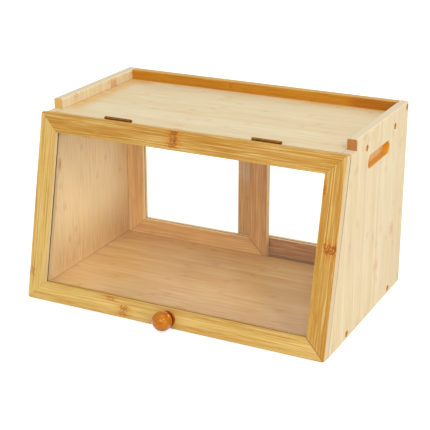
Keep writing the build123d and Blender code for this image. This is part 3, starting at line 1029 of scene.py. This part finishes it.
# ---------------------------------------------------------------- The cabinet
@dataclass
class Cabinet:
    """The case: two side panels, two boards, the rear rail and their screws."""

    panel_strip: float = 0.0072
    board_strip: float = 0.0085
    board_half: float = 0.188
    half_thickness: float = 0.006
    screw_places: tuple[tuple[float, float], ...] = (
        (-0.024, 0.221), (0.075, 0.221), (-0.067, 0.006), (0.079, 0.006), (0.119, 0.2335)
    )
    screw_room: float = 0.0045
    # Front and back edges of the side panels; the right one's darker orange is painted shade.
    panel_flanks: tuple[Colour, Colour] = (screen(214, 166, 84), screen(168, 94, 0))
    panel_shades: tuple[float, float] = (-0.3, -0.05)
    top_shade: float = -0.35
    panel_seeds: tuple[float, float] = (3.3, 15.0)
    top_seed: float = 41.9
    floor_seed: float = 67.1
    rail_seed: float = 23.5
    slot_place: tuple[float, float] = (0.0195, 0.201)
    slot_half_length: float = 0.0385
    slot_half_height: float = 0.0085
    # Painted shade on the top board along the rails and in its corners.
    tray_painted_shade: tuple[Area, ...] = (
        Area(0.0, 0.101, 0.190, 0.001),
        Area(-0.184, 0.020, 0.001, 0.080),
        Area(-0.175, 0.088, 0.010, 0.006),
        Area(0.130, 0.096, 0.050, 0.004),
    )
    # Painted shade on the right end of the rear rail's face.
    rail_painted_shade: tuple[Area, ...] = (Area(0.170, 0.0, 0.030, 0.020),)
    # Painted shade, darker and greyer, on the front of the floor board.
    floor_painted_shade: tuple[Area, ...] = (Area(0.040, -0.110, 0.120, 0.010),)
    wide_fade: float = 70.0
    # The rear doors' tracks in the floor board, which get painted shade.
    tracks: tuple[Area, ...] = (
        Area(0.0, 0.0981, 0.2, 0.0053),
        Area(0.0, 0.1117, 0.2, 0.0053),
    )
    # Painted shade low on the inside of the left side panel, near the floor.
    wall_painted_shade: tuple[Area, ...] = (Area(-0.105, 0.030, 0.004, 0.100),)
    knots: tuple[tuple[Knot, ...], ...] = (
        (
            Knot(along=0.040, across=-0.076, half_width=0.008, strength=0.8),
            Knot(along=0.112, across=0.065, half_width=0.008, strength=0.5),
        ),
        (
            Knot(along=-0.033, across=0.080, half_width=0.007, strength=0.3),
            Knot(along=-0.062, across=0.026, half_width=0.010, strength=0.2),
        ),
    )
    case: Bamboo = field(
        default_factory=lambda: Bamboo(
            light=screen(232, 218, 184),
            pale=screen(228, 211, 172),
            warm=screen(216, 189, 138),
            streak=screen(202, 160, 98),
            ring=screen(176, 112, 34),
            flank=screen(170, 106, 36),
            end=screen(222, 206, 172),
            pore=screen(196, 164, 116),
            stain=screen(216, 172, 96),
            # Painted light on the faces inside the case.
            painted_inner_light=1.0,
            streaks=0.36,
        )
    )
    floor_board: Bamboo = field(
        default_factory=lambda: Bamboo(
            light=screen(242, 214, 158),
            pale=screen(234, 200, 132),
            warm=screen(218, 170, 88),
            streak=screen(196, 126, 50),
            ring=screen(150, 84, 32),
            flank=screen(214, 166, 104),
            stain=screen(206, 168, 116),
            streaks=0.45,
        )
    )
    # Painted shade: the rear rail's faces are darker and more orange; its top keeps a pale flank.
    rail: Bamboo = field(
        default_factory=lambda: Bamboo(
            light=screen(204, 150, 52),
            pale=screen(192, 130, 26),
            warm=screen(178, 108, 10),
            streak=screen(158, 84, 4),
            ring=screen(140, 68, 6),
            flank=screen(205, 166, 88),
            stain=screen(166, 92, 6),
            contrast=0.5,
            streaks=0.4,
            gloss=0.04,
        )
    )
    # Darker than the knob screw: the screws' own bronze, with painted shade of their counterbores.
    bronze: AgedMetal = AgedMetal(
        bright=screen(126, 60, 12), dull=screen(74, 32, 6), roughness=0.4, dulled=0.6
    )

    def side_hollows(self, centre: Direction) -> tuple[Area, ...]:
        """The screw holes and the hand slot of a side panel.

        Args:
            centre: The panel's middle, from which their places count.

        Returns:
            An area for each of them.
        """
        holes = [
            Area(z - centre[2], y - centre[1], self.screw_room, self.screw_room)
            for y, z in self.screw_places
        ]
        y, z = self.slot_place
        slot = Area(z - centre[2], y - centre[1], self.slot_half_height, self.slot_half_length)
        return (*holes, slot)

    def dress(self) -> None:
        """Give every wooden piece and the case screws their finish."""
        for number, side in enumerate(Side):
            node = f"side_panel_{side.word}"
            centre = middle(node)
            cut = Cut(
                along=Z_AXIS, across=Y_AXIS, centre=centre, seed=self.panel_seeds[number],
                knots=self.knots[number], hollows=self.side_hollows(centre),
                painted_shades=self.wall_painted_shade if side is Side.LEFT else (),
                shaded_face=-1, stain_fade=self.wide_fade, strip_width=self.panel_strip,
                scattered=0.16, shade=self.panel_shades[number], face_height=self.half_thickness,
            )
            wood = replace(self.case, flank=self.panel_flanks[number])
            finish_node(node, wood.material(f"case_bamboo_{side.word}_panel", cut))
        top = Cut(
            along=X_AXIS, across=Y_AXIS, centre=middle("top_panel"), seed=self.top_seed,
            painted_shades=self.tray_painted_shade, butted=self.board_half, strip_width=self.board_strip,
            scattered=0.12, shade=self.top_shade,
        )
        finish_node("top_panel", self.case.material("case_bamboo_top", top))
        bottom = Cut(
            along=X_AXIS, across=Y_AXIS, centre=middle("bottom_panel"), seed=self.floor_seed,
            painted_shades=self.floor_painted_shade, stain_fade=self.wide_fade, sunk=self.tracks,
            butted=self.board_half, strip_width=self.board_strip, scattered=0.2,
            face_height=self.half_thickness,
        )
        finish_node("bottom_panel", self.floor_board.material("case_bamboo_floor", bottom))
        rear = Cut(
            along=X_AXIS, across=Z_AXIS, centre=middle("rear_rail"), seed=self.rail_seed,
            painted_shades=self.rail_painted_shade, strip_width=self.panel_strip, scattered=0.45,
        )
        finish_node("rear_rail", self.rail.material("case_bamboo_rail", rear))
        screws = self.bronze.material("bronzed_case_screws")
        for side in Side:
            finish_node(f"side_screws_{side.word}", screws)


# ---------------------------------------------------------------- The front door
@dataclass
class FrontDoor:
    """The sloping door: four mitred members round a clear pane, and a turned knob."""

    front_lean: float = 0.050
    lean_height: float = 0.227
    half_width: float = 0.200
    half_height: float = 0.11754
    member_half: float = 0.012
    strip: float = 0.0080
    top_knots: tuple[Knot, ...] = (
        Knot(along=-0.014, across=0.001, half_width=0.010, strength=0.8),
    )
    low_knots: tuple[Knot, ...] = (
        Knot(along=-0.060, across=-0.003, half_width=0.007, strength=0.65),
        Knot(along=-0.080, across=0.009, half_width=0.003, strength=0.45),
    )
    right_knots: tuple[Knot, ...] = (
        Knot(along=0.012, across=0.004, half_width=0.008, strength=1.0),
        Knot(along=0.076, across=-0.010, half_width=0.0015, strength=0.7),
    )
    left_knots: tuple[Knot, ...] = (
        Knot(along=-0.082, across=-0.008, half_width=0.004, strength=0.45),
    )
    wood: Bamboo = field(
        default_factory=lambda: Bamboo(
            light=screen(224, 204, 138),
            pale=screen(214, 178, 98),
            warm=screen(184, 134, 50),
            streak=screen(166, 96, 14),
            ring=screen(134, 60, 0),
            flame=screen(190, 106, 6),
            # Partly the strips' paler sides, partly painted light on the sides of the stiles.
            flank=screen(216, 194, 152),
            contrast=0.5,
            streaks=0.48,
            seams=0.05,
            gloss=0.1,
        )
    )
    # The rails' edges, without the painted light of the stiles' sides.
    rail_flank: Colour = screen(206, 166, 88)
    lacquer_light: Colour = screen(182, 102, 0)
    # Also the colour of the knob's painted shade.
    lacquer_dark: Colour = screen(126, 44, 0)
    knob_groove: float = -0.0090
    bronze: AgedMetal = AgedMetal(bright=screen(176, 96, 28), dull=screen(110, 54, 14))
    acrylic: ClearPane = ClearPane()

    @property
    def lean(self) -> float:
        """How far the door leans back from upright, in radians."""
        return math.atan2(self.front_lean, self.lean_height)

    @property
    def up_slope(self) -> Direction:
        """The direction up the door's face."""
        return 0.0, math.sin(self.lean), math.cos(self.lean)

    @property
    def outwards(self) -> Direction:
        """The direction straight out of the door's face."""
        return 0.0, -math.cos(self.lean), math.sin(self.lean)

    def member_centre(self, node: str) -> Direction:
        """The middle of a member, from which its lengths count.

        Args:
            node: The member's node.

        Returns:
            A point on the member's middle line.
        """
        door_middle = Vector(middle("door_pane"))
        if node.endswith("stile"):
            aside = (self.half_width - self.member_half) * (-1 if "left" in node else 1)
            return tuple(door_middle + Vector(X_AXIS) * aside)
        up = (self.half_height - self.member_half) * (-1 if "bottom" in node else 1)
        return tuple(door_middle + Vector(self.up_slope) * up)

    def dress(self) -> None:
        """Give the members, the pane, the knob and its screw their finish."""
        wide, high, half = self.half_width, self.half_height, self.member_half
        # Each member's node, seed, shade, rings and place in the frame.
        members = (
            ("door_top_rail", 5.2, 0.5, self.top_knots, Member(wide, half, 1, 1, 0.0, 0.2)),
            ("door_bottom_rail", 17.4, -0.2, self.low_knots, Member(wide, half, -1, 1, 0.1, 0.9)),
            ("door_left_stile", 29.8, -0.45, self.left_knots, Member(high, half, -1, -1, 0.1, 0.0)),
            ("door_right_stile", 36.6, 1.1, self.right_knots, Member(high, half, 1, -1, 0.9, 0.2)),
        )
        for node, seed, shade, knots, member in members:
            along, across, wood = self.up_slope, X_AXIS, self.wood
            if node.endswith("rail"):
                along, across = X_AXIS, self.up_slope
                wood = replace(self.wood, flank=self.rail_flank)
            cut = Cut(
                along=along, across=across, centre=self.member_centre(node), seed=seed,
                knots=knots, member=member, strip_width=self.strip, shade=shade,
            )
            finish_node(node, wood.material(f"door_bamboo_{node}", cut))
        finish_node("door_pane", self.acrylic.material("clear_acrylic_front"))
        knob = TurnedWood(
            light=self.lacquer_light, dark=self.lacquer_dark, axis=self.outwards,
            groove_height=self.knob_groove,
        )
        finish_node("knob", knob.material("knob_lacquer", middle("knob")))
        finish_node("knob_screw", self.bronze.material("bronzed_knob_screw"))


# ---------------------------------------------------------------- The hinges
@dataclass
class ButtHinges:
    """The two brass butt hinges, with their pins and screws."""

    brass: AgedMetal = AgedMetal(
        bright=screen(150, 100, 30), dull=screen(84, 48, 10), roughness=0.36, dulled=0.4
    )
    screw: AgedMetal = AgedMetal(
        bright=screen(160, 110, 36), dull=screen(84, 48, 10), roughness=0.3
    )

    def dress(self) -> None:
        """Give leaves, pins and screws their finish."""
        leaf = self.brass.material("antique_brass_leaf")
        screw = self.screw.material("antique_brass_screw")
        for side in Side:
            for piece in ("fixed_leaf", "door_leaf", "pin"):
                finish_node(f"hinge_{side.word}_{piece}", leaf)
            for piece in ("fixed_screws", "door_screws"):
                finish_node(f"hinge_{side.word}_{piece}", screw)


# ---------------------------------------------------------------- The sliding rear doors
@dataclass
class RearDoor:
    """One sliding door: four mitred members round a clear pane."""

    side: Side
    seed: float
    shades: tuple[float, ...]
    shaded_foot: bool = False
    seed_step: float = 9.3
    strip: float = 0.0083
    scattered: float = 0.15
    # Painted shade along the foot of the bottom rail, where shaded_foot asks for it.
    foot_painted_shade: Area = Area(0.0, 0.0, 0.110, 0.020)
    seat: float = 0.1
    wood: Bamboo = field(
        default_factory=lambda: Bamboo(
            light=screen(250, 220, 156),
            pale=screen(246, 202, 124),
            warm=screen(206, 150, 82),
            streak=screen(190, 120, 46),
            ring=screen(140, 78, 30),
            # Partly the strips' paler sides, partly painted light on the frame's inner sides.
            flank=screen(255, 224, 156),
            stain=screen(176, 112, 66),
            contrast=0.35,
            streaks=0.45,
            seams=0.1,
        )
    )
    acrylic: ClearPane = ClearPane()

    def dress(self) -> None:
        """Give the members and the pane their finish."""
        door = f"rear_{self.side.word}_door"
        # Each member's name, fibres, strips, outer side and how dark its two mitres are.
        members = (
            ("bottom_rail", X_AXIS, Z_AXIS, -1, (0.25, 0.8)),
            ("top_rail", X_AXIS, Z_AXIS, 1, (0.2, 0.3)),
            ("left_stile", Z_AXIS, X_AXIS, -1, (0.25, 0.2)),
            ("right_stile", Z_AXIS, X_AXIS, 1, (0.8, 0.3)),
        )
        for number, (member, along, across, outwards, gaps) in enumerate(members):
            node = f"{door}_{member}"
            low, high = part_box(node)
            half_size = Vector(tuple((high - low) / 2))
            place = Member(
                half_size.dot(Vector(along)), half_size.dot(Vector(across)), outwards,
                1 if "rail" in member else -1, *gaps, seat=self.seat,
            )
            cut = Cut(
                along=along, across=across, centre=middle(node),
                seed=self.seed + self.seed_step * number, member=place,
                strip_width=self.strip, scattered=self.scattered, shade=self.shades[number],
                painted_shades=(self.foot_painted_shade,) if self.shaded_foot and number == 0 else (),
            )
            material = self.wood.material(f"rear_door_bamboo_{self.side.word}_{member}", cut)
            finish_node(node, material)
        finish_node(f"{door}_pane", self.acrylic.material(f"clear_acrylic_{self.side.word}"))


# ---------------------------------------------------------------- Studio and camera
def stand(
    data: Union[bpy.types.Light, bpy.types.Camera], target: Vector,
    azimuth: float, elevation: float, distance: float,
) -> bpy.types.Object:
    """Stand a lamp or a camera round the box, looking at a point of it.

    Args:
        data: The lamp's or the camera's own data, whose name the object gets.
        target: The point that it looks at.
        azimuth: Degrees to the right of the front.
        elevation: Degrees above the horizon.
        distance: Metres to the point.

    Returns:
        The new object, linked to the scene.
    """
    a, e = math.radians(azimuth), math.radians(elevation)
    back = Vector((math.sin(a) * math.cos(e), -math.cos(a) * math.cos(e), math.sin(e)))
    thing = bpy.data.objects.new(data.name, data)
    thing.location = target + back * distance
    thing.rotation_mode = "QUATERNION"
    thing.rotation_quaternion = (-back).to_track_quat("-Z", "Y")
    bpy.context.scene.collection.objects.link(thing)
    return thing


@dataclass(frozen=True)
class Softbox:
    """A soft rectangular lamp that points at the box.

    Attributes:
        azimuth: Degrees to the right of the front.
        elevation: Degrees above the horizon.
        distance: Metres to the box.
        width: Metres across.
        height: Metres up.
        level: How bright a white card at the box gets from it alone, 1 being white.
    """

    azimuth: float
    elevation: float
    distance: float
    width: float
    height: float
    level: float

    def build(self, name: str, target: Vector) -> None:
        """Hang the lamp.

        Args:
            name: The lamp's name.
            target: The point that it faces.
        """
        data = bpy.data.lights.new(name, "AREA")
        data.shape = "RECTANGLE"
        data.size, data.size_y = self.width, self.height
        data.energy = self.level * math.pi * math.pi * self.distance**2
        lamp = stand(data, target, self.azimuth, self.elevation, self.distance)
        LOG.info("%s hung", name)


@dataclass
class Studio:
    """A pale floor, soft lamps and a white surround."""

    floor_half: float = 4.0
    floor_drop: float = 0.0002
    floor_white: float = 0.84
    floor_lift: float = 0.6
    ambient: float = 0.48
    lamps: tuple[tuple[str, Softbox], ...] = (
        ("key_softbox", Softbox(56, 40, 2.4, 0.4, 0.7, 0.20)),
        ("front_softbox", Softbox(14, 28, 2.6, 1.4, 1.2, 0.31)),
        ("side_softbox", Softbox(58, 13, 2.6, 1.6, 1.0, 0.19)),
        ("top_softbox", Softbox(0, 80, 2.2, 1.4, 1.4, 0.20)),
        ("back_softbox", Softbox(152, 22, 2.4, 1.0, 0.8, 0.15)),
    )

    def _for_sight(self, bench: Bench) -> Value:
        """Find the rays that look at the surround, straight, in a mirror or through glass.

        Args:
            bench: The tree of the floor or the world.

        Returns:
            1 for such rays, and 0 for the others.
        """
        path = bench.add("ShaderNodeLightPath")
        camera, glossy, through = (
            Value(bench, path.outputs[name])
            for name in ("Is Camera Ray", "Is Glossy Ray", "Is Transmission Ray")
        )
        return camera.larger(glossy).larger(through)

    def floor_material(self) -> bpy.types.Material:
        """Make the white paper, which keeps the shadow and looks white in the open.

        Returns:
            The material.
        """
        bench = Bench.of_material("floor_paper")
        fibre = bench.noise(bench.place(), scale=60.0)
        white = self.floor_white
        paper = bench.add(
            "ShaderNodeBsdfDiffuse",
            {},
            {"Color": bench.mix(fibre * 0.02, (white,) * 3, (white * 0.9,) * 3)},
        )
        glow = bench.add(
            "ShaderNodeEmission",
            {},
            {"Color": WHITE, "Strength": self._for_sight(bench) * self.floor_lift},
        )
        both = bench.add("ShaderNodeAddShader", {}, {0: paper.outputs[0], 1: glow.outputs[0]})
        return bench.close(both.outputs[0])

    def build(self) -> None:
        """Lay the floor, set the surround and hang the lamps."""
        half, level = self.floor_half, -self.floor_drop
        mesh = bpy.data.meshes.new("studio_floor")
        corners = [(x * half, y * half, level) for x, y in ((-1, -1), (1, -1), (1, 1), (-1, 1))]
        mesh.from_pydata(corners, [], [(0, 1, 2, 3)])
        mesh.materials.append(self.floor_material())
        floor = bpy.data.objects.new("studio_floor", mesh)
        bpy.context.scene.collection.objects.link(floor)
        LOG.info("studio_floor laid")
        self._surround()
        target = (cad_box[0] + cad_box[1]) / 2
        for name, softbox in self.lamps:
            softbox.build(name, target)

    def _surround(self) -> None:
        """Set the world: white to look at, and a soft even light from all round."""
        world = bpy.data.worlds.new("white_surround")
        bpy.context.scene.world = world
        bench = Bench(world)
        seen = self._for_sight(bench)
        light = bench.add(
            "ShaderNodeBackground",
            {},
            {"Color": WHITE, "Strength": seen * (1.0 - self.ambient) + self.ambient},
        )
        bench.add("ShaderNodeOutputWorld", {}, {"Surface": light.outputs[0]})


@dataclass
class PhotoCamera:
    """The camera, where the photograph was taken from."""

    azimuth: float = 26.6
    elevation: float = 20.64
    distance: float = 1.48529
    lens: float = 99.51
    sensor: float = 36.0
    clip: tuple[float, float] = (0.05, 50.0)
    look_at: Direction = (0.0, -0.01055, 0.10159)

    def build(self) -> None:
        """Set up the camera and the plain view."""
        data = bpy.data.cameras.new("photo_camera")
        data.sensor_fit = "HORIZONTAL"
        data.sensor_width = self.sensor
        data.lens = self.lens
        data.clip_start, data.clip_end = self.clip
        target = Vector(self.look_at)
        camera = stand(data, target, self.azimuth, self.elevation, self.distance)
        bpy.context.scene.camera = camera
        bpy.context.scene.view_settings.view_transform = "Standard"
        LOG.info("photo_camera set")


def main() -> None:
    """Dress the box, build the studio and set the camera."""
    logging.basicConfig(level=logging.INFO, format="%(name)s: %(message)s")
    Cabinet().dress()
    FrontDoor().dress()
    ButtHinges().dress()
    RearDoor(side=Side.LEFT, seed=51.3, shades=(0.1, 0.0, -0.1, 0.5)).dress()
    # The right door's bottom rail is darker: painted shade behind the left door, and at its foot.
    RearDoor(side=Side.RIGHT, seed=93.7, shades=(1.0, 0.3, 0.2, 0.3), shaded_foot=True).dress()
    Studio().build()
    PhotoCamera().build()


if __name__ == "__main__":
    main()
